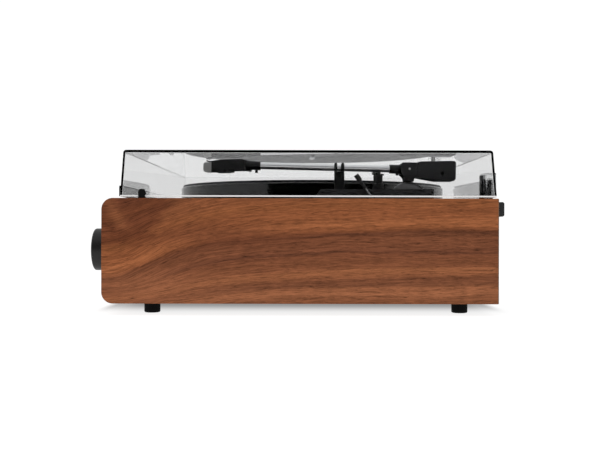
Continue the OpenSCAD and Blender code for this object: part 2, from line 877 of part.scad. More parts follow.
// Slanted box: half width, front and back at the bottom and at the top
module slanted_box(low, high, z0, z1) {
    intersection() {
        along_x(-low[0] - 1, low[0] + 1)
            polygon([[low[1], z0], [low[2], z0], [high[2], z1], [high[1], z1]]);
        along_y(low[1] - 1, low[2] + 1)
            polygon([[-low[0], z0], [low[0], z0], [high[0], z1], [-high[0], z1]]);
    }
}

// Values of one wall line, moved inwards by t
function inset(v, t) = [v[0] - t, v[1] + t, v[2] - t];

// Clear cover with its grip band in front and the sockets for the hinge arms behind
module dust_cover() {
    under = [for (i = [0:2]) cover_bottom[i] + (cover_bottom[i] - cover_top[i]) / (cover_z1 - cover_z0)];
    roof = cover_z1 - cover_t;
    lip = cover_bottom[0] - 2.5;
    socket_z = [cover_z0 + 1.2, cover_z0 + 24];
    color([0.85, 0.87, 0.88, 0.4]) difference() {
        union() {
            slanted_box(cover_bottom, cover_top, cover_z0, cover_z1);
            translate([-lip, cover_bottom[1] - 1.1, cover_z0 + 0.2]) cube([2 * lip, 2.6, 9.6]);
            for (s = [-1, 1])
                block([s * hinge_x - 12, cover_bottom[2] - 3, socket_z[0]],
                      [s * hinge_x + 12, cover_bottom[2] + 7.6, socket_z[1]]);
        }
        slanted_box(inset(under, cover_t), inset(cover_top, cover_t), cover_z0 - 1, roof);
        for (s = [-1, 1])
            block([s * hinge_x - 9.2, cover_bottom[2] + 0.6, cover_z0 - 1],
                  [s * hinge_x + 9.2, cover_bottom[2] + 5.9, socket_z[1] - 2]);
    }
}

// Rubber buffers clipped over the cover's rim
module cover_bumpers() {
    y = -140;
    wall = cover_bottom[0];
    color([0.04, 0.04, 0.04]) both_sides() difference() {
        union() {
            block([wall - 4.2, y - 2.9, deck_z + run_fit], [wall + 2.4, y + 2.9, deck_z + 5.3]);
            rod_x(wall - 4.2, wall + 2.4, y, deck_z + 5.3, 2.9);
        }
        block([wall - 2.9, y - 4, cover_z0 - 0.02], [wall + 0.1, y + 4, deck_z + 10]);
    }
}

// Side outline of a hinge cheek, round the pin and up to the deck's level
module hinge_cheek() {
    back = hinge_y + hinge_r;
    under = hinge_z - 7.3;
    top = deck_z - 1.9;
    polygon([
        [half_d, under], [back - 1.2, under + 0.9], [back, under + 2.1],
        [back, top - 1.2], [back - 1.2, top], [half_d, top]
    ]);
}

// Rear hinge bases: a leaf on the rear panel with two cheeks that hold the pin
module hinge_bases() {
    color([0.07, 0.07, 0.07]) for (s = [-1, 1])
        translate([s * hinge_x, 0, 0]) difference() {
            union() {
                block([-hinge_w / 2, half_d, deck_z - 40], [hinge_w / 2, half_d + 2.4, hinge_z - 7.2]);
                for (e = [-1, 1]) {
                    x0 = e > 0 ? barrel_w / 2 + 0.3 : -hinge_w / 2;
                    x1 = e > 0 ? hinge_w / 2 : -barrel_w / 2 - 0.3;
                    along_x(x0, x1) hinge_cheek();
                }
            }
            rod_x(-hinge_w / 2 - 1, hinge_w / 2 + 1, hinge_y, hinge_z, pin_r + 0.02);
            for (z = [deck_z - 34, deck_z - 24])
                rod_y(half_d - 1, half_d + 3, 0, z, 1.7);
        }
}

module hinge_pins() {
    color("silver") for (s = [-1, 1])
        rod_x(s * hinge_x - hinge_w / 2, s * hinge_x + hinge_w / 2, hinge_y, hinge_z, pin_r);
}

module hinge_screws() {
    color("silver") for (s = [-1, 1], z = [deck_z - 34, deck_z - 24])
        translate([s * hinge_x, half_d + 2.4, z]) rotate([-90, 0, 0]) screw(1.5, 3, 1.8, 2.4);
}

// Hinge arms: a barrel on the pin, a tongue in the cover's socket, and a clamp plate inside the wall
module hinge_arms() {
    foot = deck_z + 0.2;
    plate_top = cover_z0 + 22.2;
    wall = cover_bottom[2] - cover_t - 0.3;
    lean = (cover_bottom[2] - cover_top[2]) * (plate_top - cover_z0) / (cover_z1 - cover_z0);
    color([0.12, 0.12, 0.12]) for (s = [-1, 1])
        translate([s * hinge_x, 0, 0]) difference() {
            union() {
                rod_x(-barrel_w / 2, barrel_w / 2, hinge_y, hinge_z, hinge_r);
                block([-barrel_w / 2, half_d + 0.4, hinge_z], [barrel_w / 2, half_d + 4.4, cover_z0 + 19.4]);
                block([-barrel_w / 2, wall - 1, foot], [barrel_w / 2, half_d + 1, cover_z0 - 0.1]);
                along_x(-5, 5)
                    polygon([
                        [wall - 2.7, foot], [wall, foot],
                        [wall - lean, plate_top], [wall - 2.7, plate_top]
                    ]);
            }
            rod_x(-barrel_w, barrel_w, hinge_y, hinge_z, pin_r + run_fit);
        }
}

// ---------------------------------------------------------------- assembly

side_panel_left();
side_panel_right();
front_panel();
top_deck();
rear_panel();
bottom_cover();
corner_blocks();
case_screws();
rubber_feet();
bearing_housing();
bearing_bush();
thrust_pad();
spindle();
platter();
slipmat();
motor_can();
motor_plate();
motor_grommets();
motor_rotor();
motor_pulley();
drive_belt();
machine_screws();
arm_platform();
pivot_base();
arm_bearing();
arm_post();
arm_yoke();
pivot_screws();
arm_tube();
gimbal_block();
tail_housing();
counterweight();
tail_screw();
headshell_collar();
headshell();
cartridge();
stylus();
finger_lift();
arm_rest();
cue_column();
cue_lift();
cue_lever();
volume_pot();
volume_knob();
speed_switch();
speed_knob();
power_led();
main_board();
board_components();
jack_plate();
power_jacks();
phono_sockets();
hinge_bases();
hinge_pins();
hinge_screws();
hinge_arms();
dust_cover();
cover_bumpers();
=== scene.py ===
"""Looks of the belt-drive record player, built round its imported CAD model. Metres, +Z up, -Y is the front."""
import bmesh
import bpy
import json
import math
from mathutils import Matrix, Vector

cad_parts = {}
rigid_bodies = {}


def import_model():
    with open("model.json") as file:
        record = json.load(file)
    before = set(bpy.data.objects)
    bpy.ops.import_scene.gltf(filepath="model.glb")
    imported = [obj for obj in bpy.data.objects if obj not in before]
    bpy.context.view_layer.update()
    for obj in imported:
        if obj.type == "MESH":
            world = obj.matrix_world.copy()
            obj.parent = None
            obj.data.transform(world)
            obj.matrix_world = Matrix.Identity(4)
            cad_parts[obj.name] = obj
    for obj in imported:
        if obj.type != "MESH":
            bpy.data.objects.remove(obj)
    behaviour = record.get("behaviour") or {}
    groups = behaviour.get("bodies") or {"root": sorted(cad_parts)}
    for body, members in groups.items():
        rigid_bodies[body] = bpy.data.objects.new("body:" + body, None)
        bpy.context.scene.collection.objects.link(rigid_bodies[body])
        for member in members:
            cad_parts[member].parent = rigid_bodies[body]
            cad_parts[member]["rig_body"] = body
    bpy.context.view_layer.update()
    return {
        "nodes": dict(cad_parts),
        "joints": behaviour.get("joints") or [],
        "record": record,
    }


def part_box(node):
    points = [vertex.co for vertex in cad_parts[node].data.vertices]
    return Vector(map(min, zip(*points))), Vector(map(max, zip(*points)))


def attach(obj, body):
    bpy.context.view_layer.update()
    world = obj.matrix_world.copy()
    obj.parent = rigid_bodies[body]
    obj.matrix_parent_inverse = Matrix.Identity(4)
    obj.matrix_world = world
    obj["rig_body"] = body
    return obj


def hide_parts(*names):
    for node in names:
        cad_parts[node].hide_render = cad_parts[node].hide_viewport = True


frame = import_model()
NODES = frame["nodes"]
MM = 0.001


# ------------------------------------------------------------------ places, worked out from the CAD

def corners(node):
    """(lowest, highest) corner of a CAD node's box."""
    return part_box(node)


def middle(node):
    low, high = corners(node)
    return (low + high) / 2


def joint_origin(name):
    """A joint's own point: the record keeps it."""
    joint = next(j for j in frame["joints"] if j["name"] == name)
    return Vector(joint["pos_m"])


def level_box(node, z):
    """(lowest, highest) corner of a CAD node's points at one height, in millimetres."""
    points = [v.co / MM for v in NODES[node].data.vertices if abs(v.co.z / MM - z) < 0.02]
    return [Vector((pick(p.x for p in points), pick(p.y for p in points))) for pick in (min, max)]


side_low, side_high = corners("side_panel_right")
platter_axis = joint_origin("platter_spin")
arm_axis = joint_origin("arm_swing")
pitch_axis = joint_origin("arm_pitch")
plinth_front, plinth_back = side_low.y, side_high.y


# ------------------------------------------------------------------ node maths for materials

def srgb(red, green, blue, alpha=1.0):
    """A display colour from 0 to 255 as the linear one that shaders take."""
    def linear(v):
        v /= 255
        return v / 12.92 if v <= 0.04045 else ((v + 0.055) / 1.055) ** 2.4
    return (linear(red), linear(green), linear(blue), alpha)


class Value:
    """A number inside a material's node tree, so that a pattern reads as a formula."""

    def __init__(self, material, socket):
        self.material = material
        self.socket = socket

    def math(self, operation, *others):
        node = self.material.node("ShaderNodeMath")
        node.operation = operation
        for place, item in enumerate((self, *others)):
            self.material.feed(node.inputs[place], item)
        return Value(self.material, node.outputs[0])

    def __add__(self, other):
        return self.math("ADD", other)

    def __sub__(self, other):
        return self.math("SUBTRACT", other)

    def __mul__(self, other):
        return self.math("MULTIPLY", other)

    def __truediv__(self, other):
        return self.math("DIVIDE", other)

    def __neg__(self):
        return self.math("MULTIPLY", -1.0)

    __radd__ = __add__
    __rmul__ = __mul__

    def __rsub__(self, other):
        return (-self) + other

    def exp(self):
        return self.math("EXPONENT")

    def sine(self):
        return self.math("SINE")

    def size(self):
        return self.math("ABSOLUTE")

    def power(self, other):
        return self.math("POWER", other)

    def step(self, low, high):
        """0 below low and 1 above high, smoothly between them."""
        node = self.material.node("ShaderNodeMapRange")
        node.interpolation_type = "SMOOTHSTEP"
        self.material.feed(node.inputs["Value"], self)
        node.inputs["From Min"].default_value = low
        node.inputs["From Max"].default_value = high
        return Value(self.material, node.outputs["Result"])


class Material:
    """A Principled material whose x, y and z are millimetres in the shared frame."""

    def __init__(self, name):
        self.data = bpy.data.materials.new(name)
        self.data.use_nodes = True
        self.tree = self.data.node_tree
        self.shader = self.tree.nodes["Principled BSDF"]
        split = self.node("ShaderNodeSeparateXYZ")
        place = self.node("ShaderNodeTexCoord")
        self.tree.links.new(place.outputs["Object"], split.inputs[0])
        self.x, self.y, self.z = (Value(self, s) * (1 / MM) for s in split.outputs)

    def node(self, kind):
        return self.tree.nodes.new(kind)

    def feed(self, socket, item):
        if isinstance(item, Value):
            self.tree.links.new(item.socket, socket)
        elif isinstance(item, bpy.types.NodeSocket):
            self.tree.links.new(item, socket)
        else:
            socket.default_value = item

    def point(self, x, y, z=0.0):
        node = self.node("ShaderNodeCombineXYZ")
        for socket, item in zip(node.inputs, (x, y, z)):
            self.feed(socket, item)
        return node.outputs[0]

    def noise(self, x, y, z=0.0, detail=2.0, roughness=0.5):
        """Noise from 0 to 1, about one bump for each unit of x, y and z."""
        node = self.node("ShaderNodeTexNoise")
        self.feed(node.inputs["Vector"], self.point(x, y, z))
        node.inputs["Scale"].default_value = 1.0
        node.inputs["Detail"].default_value = detail
        node.inputs["Roughness"].default_value = roughness
        return Value(self, node.outputs["Fac"])

    def grain(self, size, detail=2.0, roughness=0.5):
        """Even noise whose bumps are about size millimetres across."""
        return self.noise(self.x * (1 / size), self.y * (1 / size), self.z * (1 / size), detail, roughness)

    def ramp(self, value, stops):
        """Colours along value, given as (place from 0 to 1, colour)."""
        node = self.node("ShaderNodeValToRGB")
        self.feed(node.inputs[0], value)
        points = node.color_ramp.elements
        while len(points) < len(stops):
            points.new(1.0)
        for point, (place, colour) in zip(points, stops):
            point.position = place
            point.color = colour
        return node.outputs["Color"]

    def mix(self, first, second, share, mode="MIX"):
        node = self.node("ShaderNodeMix")
        node.data_type = "RGBA"
        node.blend_type = mode
        self.feed(node.inputs["Factor"], share)
        self.feed(node.inputs[6], first)
        self.feed(node.inputs[7], second)
        return node.outputs[2]

    def tinted(self, colour, amount):
        """Colour times a number."""
        return self.mix(colour, self.grey(amount), 1.0, "MULTIPLY")

    def grey(self, amount):
        return self.point(amount, amount, amount)

    def bump(self, height, distance, strength=1.0):
        """Height from 0 to 1 that stands distance millimetres proud at 1."""
        node = self.node("ShaderNodeBump")
        node.inputs["Strength"].default_value = strength
        node.inputs["Distance"].default_value = distance * MM
        self.feed(node.inputs["Height"], height)
        self.feed(self.shader.inputs["Normal"], node.outputs[0])

    def finish(self, colour=None, roughness=None, **plain):
        """Sets the shader's inputs; plain ones are constants named with _ for spaces."""
        if colour is not None:
            self.feed(self.shader.inputs["Base Color"], colour)
        if roughness is not None:
            self.feed(self.shader.inputs["Roughness"], roughness)
        for name, value in plain.items():
            self.shader.inputs[name.replace("_", " ")].default_value = value
        return self.data


# ------------------------------------------------------------------ walnut

RINGS = [  # growth rings from the bottom of the panel up: place in millimetres, colour
    (10, (124, 76, 50)), (18, (132, 82, 55)), (21, (148, 93, 63)), (26, (143, 89, 60)),
    (28.5, (119, 73, 50)), (34, (117, 71, 48)), (38, (138, 85, 56)), (42, (145, 90, 59)),
    (45, (124, 75, 50)), (50, (118, 71, 47)), (56.5, (119, 71, 48)), (57.6, (94, 56, 39)),
    (59, (112, 67, 46)), (64, (118, 71, 48)), (72, (112, 67, 45)), (73.8, (96, 57, 39)),
    (76, (114, 67, 43)), (79, (137, 82, 51)), (83, (150, 91, 57)), (88, (138, 82, 51)),
    (95, (129, 76, 47)), (101, (137, 82, 50)), (108, (126, 75, 47)), (114, (132, 79, 50)),
    (120, (118, 70, 45)), (128, (127, 76, 48)), (136, (116, 69, 45)), (145, (124, 74, 48)),
]
RING_SPAN = 160
HEARTWOOD = (0.62, 0.56, 0.60, 1)
STREAK = srgb(108, 62, 41)
SAPWOOD = srgb(146, 91, 62)


def walnut(name, along, across, rings, patches=None, back=None):
    """Oiled walnut veneer. rings turns (material, along, across) into a height on the RINGS scale, and
    patches into a list of (colour, share, blend mode) laid over the rings. Past back, in millimetres along
    the grain, the colour turns a darker grey-brown."""
    m = Material(name)
    u = along(m)
    v = across(m)
    # Slow drifts and small waves bend the rings.
    slow = m.noise(u * 0.009, v * 0.045, 3.1) - 0.5
    wave = m.noise(u * 0.03, v * 0.1, 7.7) - 0.5
    level = rings(m, u, v) + slow * 5 + wave * 3.4
    fine = m.noise(u * 0.014, level * 0.8, 1.3, detail=3) - 0.5
    base = m.ramp((level + fine * 4.4) * (1 / RING_SPAN),
                  [(place / RING_SPAN, srgb(*colour)) for place, colour in RINGS])
    for tone, share, mode in patches(m, u, v, wave) if patches else []:
        base = m.mix(base, tone, share, mode)
    # Fibres and finer growth lines follow the rings, with short dark pores and pale flecks between them.
    fibre = m.noise(u * 0.1 + wave * 3, level * 1.25, 5.2, detail=5, roughness=0.72)
    lines = m.noise(u * 0.02, level * 0.62, 9.4, detail=4, roughness=0.68)
    pores = m.noise(u * 0.12 + wave * 3, level * 1.5, 2.6, detail=2).step(0.60, 0.72)
    flecks = m.noise(u * 0.16 + slow * 4, level * 0.9, 6.6, detail=2).step(0.62, 0.75)
    sheen = m.noise(u * 0.1, v * 0.05 + slow * 2, 4.4, detail=2) - 0.5
    light = 0.965 + (fibre - 0.5) * 2.0 + (lines - 0.5) * 1.45 + sheen * 0.3 + flecks * 0.25
    colour = m.tinted(base, light - pores * 0.42)
    # Near the back end the colour turns a darker grey-brown.
    if back is not None:
        colour = m.mix(colour, srgb(104, 88, 74), u.step(back - 1.1, back - 0.4) * 0.75)
    m.bump(fibre * 0.4 - pores * 0.8, 0.035)
    return m.finish(colour, 0.46 + fibre * 0.18 + pores * 0.15, Specular_IOR_Level=0.03)


def side_rings(front):
    """Rings that dive towards the bottom of the front edge and run level at the back."""
    def rings(m, u, v):
        reach = (u - front).math("MAXIMUM", 0.0)
        drop = (v.step(12, 34) * 16 + 27) / ((reach * (1 / 62)).power(2.2) + 1)
        return v + drop
    return rings


def blob(along, across, centre, size):
    """1 at centre, fading to 0 over about size, both given as (along, across) in millimetres."""
    first = ((along - centre[0]) * (1 / size[0])).power(2)
    second = ((across - centre[1]) * (1 / size[1])).power(2)
    return (-(first + second)).exp()


def side_patches(front):
    """Dark heartwood in the upper front corner with a pale wedge running down through it, a brown streak
    behind it and pale sapwood in the lower front corner."""
    def patches(m, u, v, wave):
        reach = u - front
        lean = reach + (98 - v) * 0.45
        spread = (((lean - 6) * (1 / 57)).power(4) + ((v - 98) * (1 / 41)).power(4)).power(0.25)
        patch = 1.0 - (spread + wave * 0.45).step(0.80, 1.0)
        wedge = (-(((reach - 12) * 0.87 + (v - 89) * 0.49) * (1 / 5.5)).power(2)).exp() * v.step(73, 78)
        streak = blob(reach, v, (112, 70), (72, 10))
        sapwood = blob(reach, v, (45, 25), (62, 13))
        return [(STREAK, streak * 0.75, "MIX"), (SAPWOOD, sapwood * 0.8, "MIX"),
                (HEARTWOOD, patch * (1.0 - wedge) * 0.85, "MULTIPLY")]
    return patches


def front_rings(m, u, v):
    return v * 0.9 + 18 + (u * 0.013).sine() * 5


def tops(m):
    """Height across the grain on a side panel: its upper and lower edges take it on over their width."""
    return m.z + (m.x.size() - side_high.x / MM) * 0.5


plinth_y0 = plinth_front / MM
plinth_y1 = plinth_back / MM
walnut_right = walnut("walnut_right", lambda m: m.y, tops, side_rings(plinth_y0), side_patches(plinth_y0),
                      plinth_y1)
walnut_left = walnut("walnut_left", lambda m: -m.y, tops, side_rings(plinth_y0))
walnut_front = walnut("walnut_front", lambda m: m.x, lambda m: m.z + (m.y - plinth_y0) * 0.5, front_rings)


# ------------------------------------------------------------------ plastics, rubber, metals

def moulded(name, colour, roughness=0.5, spread=0.12, texture=0.35, depth=0.02, specular=0.35):
    """Black or grey moulded plastic with a fine spark-eroded texture and slight handling marks."""
    m = Material(name)
    texture_height = m.grain(texture, detail=3, roughness=0.6)
    marks = m.grain(14, detail=3, roughness=0.65)
    m.bump(texture_height, depth)
    return m.finish(m.tinted(srgb(*colour), 0.85 + marks * 0.3),
                    roughness + (marks - 0.5) * spread * 2, Specular_IOR_Level=specular)


def metal(name, colour, roughness=0.25, brushed="y", stretch=40, depth=0.004, dull=0.1):
    """Bare metal with tool marks along one axis, or round it for a turned piece."""
    m = Material(name)
    across = {"x": (m.y, m.z), "y": (m.x, m.z), "z": (m.x, m.y)}[brushed]
    along = {"x": m.x, "y": m.y, "z": m.z}[brushed]
    marks = m.noise(along * (1 / stretch), across[0] * 3, across[1] * 3, detail=3)
    haze = m.grain(9, detail=2)
    m.bump(marks, depth)
    return m.finish(m.tinted(srgb(*colour), 0.88 + haze * 0.2 + (marks - 0.5) * 0.12),
                    roughness + (marks - 0.5) * dull + (haze - 0.5) * dull, Metallic=1.0)


def turned(name, colour, centre, roughness=0.25, pitch=0.35, depth=0.01, metallic=1.0, axis="z"):
    """A finish of fine rings round an axis: turned metal or a ribbed face."""
    m = Material(name)
    a, b = {"z": (m.x - centre.x / MM, m.y - centre.y / MM),
            "y": (m.x - centre.x / MM, m.z - centre.z / MM)}[axis]
    radius = (a * a + b * b).power(0.5)
    rings = m.noise(radius * (1 / pitch), 0.5, 0.5, detail=2)
    haze = m.grain(11, detail=2)
    m.bump(rings, depth)
    return m.finish(m.tinted(srgb(*colour), 0.86 + haze * 0.16 + rings * 0.12),
                    roughness + (rings - 0.5) * 0.12 + (haze - 0.5) * 0.1, Metallic=metallic)


def plain_wood(name, dark, light, scale, roughness=0.7):
    """Bare pine or pressed fibreboard."""
    m = Material(name)
    grain = m.noise(m.x * scale, m.y * scale, m.z * 0.04, detail=4, roughness=0.6)
    m.bump(grain, 0.04)
    return m.finish(m.ramp(grain, [(0.3, srgb(*dark)), (0.7, srgb(*light))]), roughness,
                    Specular_IOR_Level=0.25)


def clear_acrylic():
    """Polished clear plastic: what it absorbs over a long path makes its edges dark."""
    m = Material("clear_acrylic")
    wipe = m.grain(60, detail=4, roughness=0.6)
    data = m.finish(None, 0.012 + wipe.step(0.5, 0.9) * 0.02, IOR=1.49, Transmission_Weight=1.0)
    m.shader.inputs["Base Color"].default_value = (1, 1, 1, 1)
    volume = m.node("ShaderNodeVolumeAbsorption")
    volume.inputs["Color"].default_value = (0.30, 0.32, 0.33, 1)
    volume.inputs["Density"].default_value = 42.0
    m.tree.links.new(volume.outputs[0], m.tree.nodes["Material Output"].inputs["Volume"])
    return data


def pivot_screw():
    """Black screw with a near-white dot in the middle."""
    m = Material("pivot_screw")
    reach = ((m.y - arm_axis.y / MM).power(2) + (m.z - pitch_axis.z / MM).power(2)).power(0.5)
    # The dot: near-white within about a millimetre of the pivot's axis.
    bare = 1.0 - reach.step(0.95, 1.2)
    marks = m.grain(0.6)
    m.bump(marks, 0.01)
    return m.finish(m.mix(srgb(20, 20, 21), srgb(250, 250, 250), bare), 0.5, Specular_IOR_Level=0.3)


def painted_bright_edge():
    """Sawn acrylic: white with saw marks, a little see-through. Its white is painted light: it stands in for
    the bright band that the cover's lower edge catches and refracts.
    """
    m = Material("painted_bright_edge")
    marks = m.noise(m.x * 0.8, m.y * 0.8, m.z * 3, detail=3)
    m.bump(marks, 0.03)
    return m.finish(m.tinted(srgb(246, 247, 247), 0.85 + marks * 0.25), 0.55, Specular_IOR_Level=0.3)


finishes = {
    "deck_black": moulded("deck_black", (30, 30, 31), roughness=0.42, texture=0.8, depth=0.03, specular=0.3),
    "black_plastic": moulded("black_plastic", (40, 40, 41), roughness=0.45),
    # Painted light: the arm platform and the pivot's dome get lighter greys than their dark plastic, standing
    # in for the light they catch; the dome's grey is a painted highlight.
    "platform_painted_light": moulded("platform_painted_light", (74, 74, 75), roughness=0.45),
    "dome_painted_highlight": moulded("dome_painted_highlight", (116, 116, 117), roughness=0.45),
    "arm_plastic": moulded("arm_plastic", (68, 68, 69), roughness=0.5, specular=0.22),
    "head_plastic": moulded("head_plastic", (42, 42, 43), roughness=0.45, specular=0.2),
    "cartridge_plastic": moulded("cartridge_plastic", (20, 20, 22), roughness=0.35),
    "stylus_plastic": moulded("stylus_plastic", (196, 196, 194), roughness=0.35, depth=0.008, specular=0.5),
    "knob_black": moulded("knob_black", (16, 16, 17), roughness=0.42, texture=0.25, depth=0.012),
    "rubber": moulded("rubber", (13, 13, 13), roughness=0.8, texture=0.5, depth=0.05, specular=0.1),
    "white_plastic": moulded("white_plastic", (226, 225, 220), roughness=0.4, depth=0.01),
    "board_green": moulded("board_green", (24, 92, 56), roughness=0.35, texture=1.5, depth=0.02),
    "components": moulded("components", (44, 44, 48), roughness=0.4),
    "screw_steel": metal("screw_steel", (190, 190, 192), roughness=0.32, brushed="z", stretch=8),
    "housing_metal": metal("housing_metal", (176, 177, 180), roughness=0.4, stretch=20),
    "pot_metal": metal("pot_metal", (168, 168, 172), roughness=0.36),
    "brass": metal("brass", (222, 184, 110), roughness=0.28, brushed="z", stretch=12),
    "polished_steel": metal("polished_steel", (214, 214, 216), roughness=0.12, stretch=30, dull=0.05),
    "arm_aluminium": metal("arm_aluminium", (238, 239, 241), roughness=0.3, stretch=60, dull=0.08),
    "weight_iron": metal("weight_iron", (96, 96, 98), roughness=0.45),
    "lever_metal": metal("lever_metal", (204, 204, 206), roughness=0.2, stretch=20),
    "platter_black": moulded("platter_black", (13, 13, 14), roughness=0.09, spread=0.03, texture=3,
                             depth=0.001, specular=0.5),
    "mat_rubber": turned("mat_rubber", (34, 34, 36), platter_axis, roughness=0.5, metallic=0.0,
                         pitch=0.5, depth=0.05),
    "fibreboard": plain_wood("fibreboard", (52, 42, 34), (78, 64, 50), 1.2),
    "pine": plain_wood("pine", (176, 138, 92), (214, 182, 134), 0.5),
    "pivot_screw": pivot_screw(),
    "lamp_lens": moulded("lamp_lens", (190, 38, 24), roughness=0.15, depth=0.004, specular=0.5),
    "clear_acrylic": clear_acrylic(),
    "painted_bright_edge": painted_bright_edge(),
}
own_finish = {"side_panel_left": walnut_left, "side_panel_right": walnut_right,
              "front_panel": walnut_front,
              # The arm platform and the pivot's dome take the lighter painted-light greys.
              "pivot_screws": finishes["pivot_screw"], "pivot_base": finishes["dome_painted_highlight"],
              "arm_platform": finishes["platform_painted_light"]}
slot_of = {row["node"]: row["material_slot"] for row in frame["record"]["subparts"]}


def finish_of(node):
    """A node's own finish, or the one of its material slot."""
    return own_finish.get(node) or finishes[slot_of[node]]


# ------------------------------------------------------------------ meshes

def dress(obj, material):
    """Gives an object one material."""
    obj.data.materials.clear()
    obj.data.materials.append(material)


def smooth(mesh, angle=34):
    """Smooth shading with sharp edges kept above angle degrees."""
    for face in mesh.polygons:
        face.use_smooth = True
    mesh.set_sharp_from_angle(angle=math.radians(angle))


def add_piece(name, bm, body, slot, material=None, angle=34):
    """Turns a bmesh into a piece that rides on a CAD body."""
    mesh = bpy.data.meshes.new(name)
    bm.normal_update()
    bm.to_mesh(mesh)
    bm.free()
    obj = bpy.data.objects.new(name, mesh)
    bpy.context.scene.collection.objects.link(obj)
    dress(obj, material or finishes[slot])
    smooth(mesh, angle)
    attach(obj, body)
    return obj


def clean_copy(node):
    """A CAD node's mesh with its flat faces whole again."""
    bm = bmesh.new()
    bm.from_mesh(NODES[node].data)
    bmesh.ops.remove_doubles(bm, verts=bm.verts, dist=0.002 * MM)
    bmesh.ops.dissolve_limit(bm, angle_limit=math.radians(0.8), verts=bm.verts, edges=bm.edges,
                             use_dissolve_boundaries=False, delimit={"NORMAL"})
    return bm


def bevelled(node, width, segments=2, angle=35):
    """A piece in a CAD node's place that has its shape with round edges, width in millimetres."""
    obj = add_piece(f"{node}_finish", clean_copy(node), NODES[node]["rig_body"], slot_of[node],
                    finish_of(node), angle)
    bevel = obj.modifiers.new("edges", "BEVEL")
    bevel.width = width * MM
    bevel.segments = segments
    bevel.limit_method = "ANGLE"
    bevel.angle_limit = math.radians(angle)
    bevel.use_clamp_overlap = True
    bevel.harden_normals = False
    weigh = obj.modifiers.new("normals", "WEIGHTED_NORMAL")
    weigh.keep_sharp = False
    weigh.weight = 60
    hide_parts(node)
    return obj


EDGES = {  # radius of each piece's moulded, cut or cast edges in millimetres
    "side_panel_left": 0.7, "side_panel_right": 0.7, "front_panel": 0.3, "top_deck": 0.25, "rear_panel": 0.4,
    "arm_platform": 0.6, "arm_rest": 0.35, "arm_yoke": 0.5, "gimbal_block": 0.5, "tail_housing": 0.7,
    "headshell": 0.45, "cartridge": 0.3, "stylus": 0.35, "finger_lift": 0.2,
    "speed_knob": 0.5, "jack_plate": 0.4, "power_jacks": 0.25, "phono_sockets": 0.3, "hinge_bases": 0.4,
    "hinge_arms": 0.4, "cover_bumpers": 0.35, "rubber_feet": 0.5, "cue_column": 0.4, "cue_lift": 0.3,
    "headshell_collar": 0.3, "platter": 0.5, "spindle": 0.2, "power_led": 0.2,
}
for node_name, radius in EDGES.items():
    bevelled(node_name, radius)


# ------------------------------------------------------------------ dust cover

GAP = 0.05  # millimetres between clear pieces that are one moulding, so that each stays a closed solid
HINGE_X = 150  # millimetres from the middle of the player to each hinge


def rounded(low, high, radius, z, steps=5):
    """Points round a level rectangle with round corners, in millimetres, steps to each corner."""
    centres = [(high.x - radius, high.y - radius), (low.x + radius, high.y - radius),
               (low.x + radius, low.y + radius), (high.x - radius, low.y + radius)]
    points = []
    for quarter, (x, y) in enumerate(centres):
        for step in range(steps + 1):
            angle = math.pi / 2 * (quarter + step / steps)
            points.append(Vector((x + radius * math.cos(angle), y + radius * math.sin(angle), z)))
    return points


def skin(bm, loops):
    """Walls up a stack of loops, with a cap on the last one."""
    rings = [[bm.verts.new(point * MM) for point in loop] for loop in loops]
    for lower, upper in zip(rings, rings[1:]):
        for i in range(len(lower)):
            j = (i + 1) % len(lower)
            bm.faces.new((lower[i], lower[j], upper[j], upper[i]))
    bm.faces.new(rings[-1])
    return rings


def close_between(bm, first, second):
    """A band of faces between two loops with the same number of points."""
    for i in range(len(first)):
        j = (i + 1) % len(first)
        bm.faces.new((first[i], first[j], second[j], second[i]))


class Cover:
    """The cover's slanted box, read off the CAD model. Lengths are in millimetres."""
    wall = 1.8
    roof = 2.3
    rim = 1.3
    corner = 0.9
    outer_edge = Vector((0.3, 2.4))  # top edge's arc: width at the sides, width at the front and back
    inner_edge = Vector((0.2, 0.6))
    arc_steps = 6

    def __init__(self):
        low, high = corners("dust_cover")
        self.z0, self.z1 = low.z / MM, high.z / MM
        self.bottom = level_box("dust_cover", self.z0)
        self.top = level_box("dust_cover", self.z1)

    def sides(self, z, inset=0.0):
        """(lowest, highest) corner at height z of walls that stand inset inside the outer ones."""
        share = (z - self.z0) / (self.z1 - self.z0)
        low = self.bottom[0].lerp(self.top[0], share)
        high = self.bottom[1].lerp(self.top[1], share)
        back = Vector((inset, inset))
        return low + back, high - back

    def loops(self, start, inset, edge, corner):
        """Loops from height start up to the top, whose edge is an arc edge.x wide at the sides and
        edge.y wide and high at the front and back."""
        top = self.z1 - (self.roof if inset else 0.0)
        stack = [rounded(*self.sides(start, inset), corner, start)]
        for step in range(self.arc_steps + 1):
            angle = math.pi / 2 * step / self.arc_steps
            pull = edge * (1 - math.cos(angle))
            z = top - edge.y * (1 - math.sin(angle))
            low, high = self.sides(z, inset)
            stack.append(rounded(low + pull, high - pull, corner, z))
        return stack


def clear_piece(name, bm, material=None):
    """A piece of the dust cover, with flat faces shaded flat."""
    bmesh.ops.recalc_face_normals(bm, faces=bm.faces)
    obj = add_piece(name, bm, "dust_cover", "clear_acrylic", material)
    weigh = obj.modifiers.new("normals", "WEIGHTED_NORMAL")
    weigh.keep_sharp = True
    weigh.weight = 100
    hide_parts("dust_cover")
    return obj


def cover_shell(cover):
    """The clear box above its sawn rim."""
    bm = bmesh.new()
    start = cover.z0 + cover.rim + GAP
    outer = skin(bm, cover.loops(start, 0.0, cover.outer_edge, cover.corner))
    inner = skin(bm, cover.loops(start, cover.wall, cover.inner_edge, cover.corner / 2))
    close_between(bm, outer[0], inner[0])
    clear_piece("cover_shell", bm)


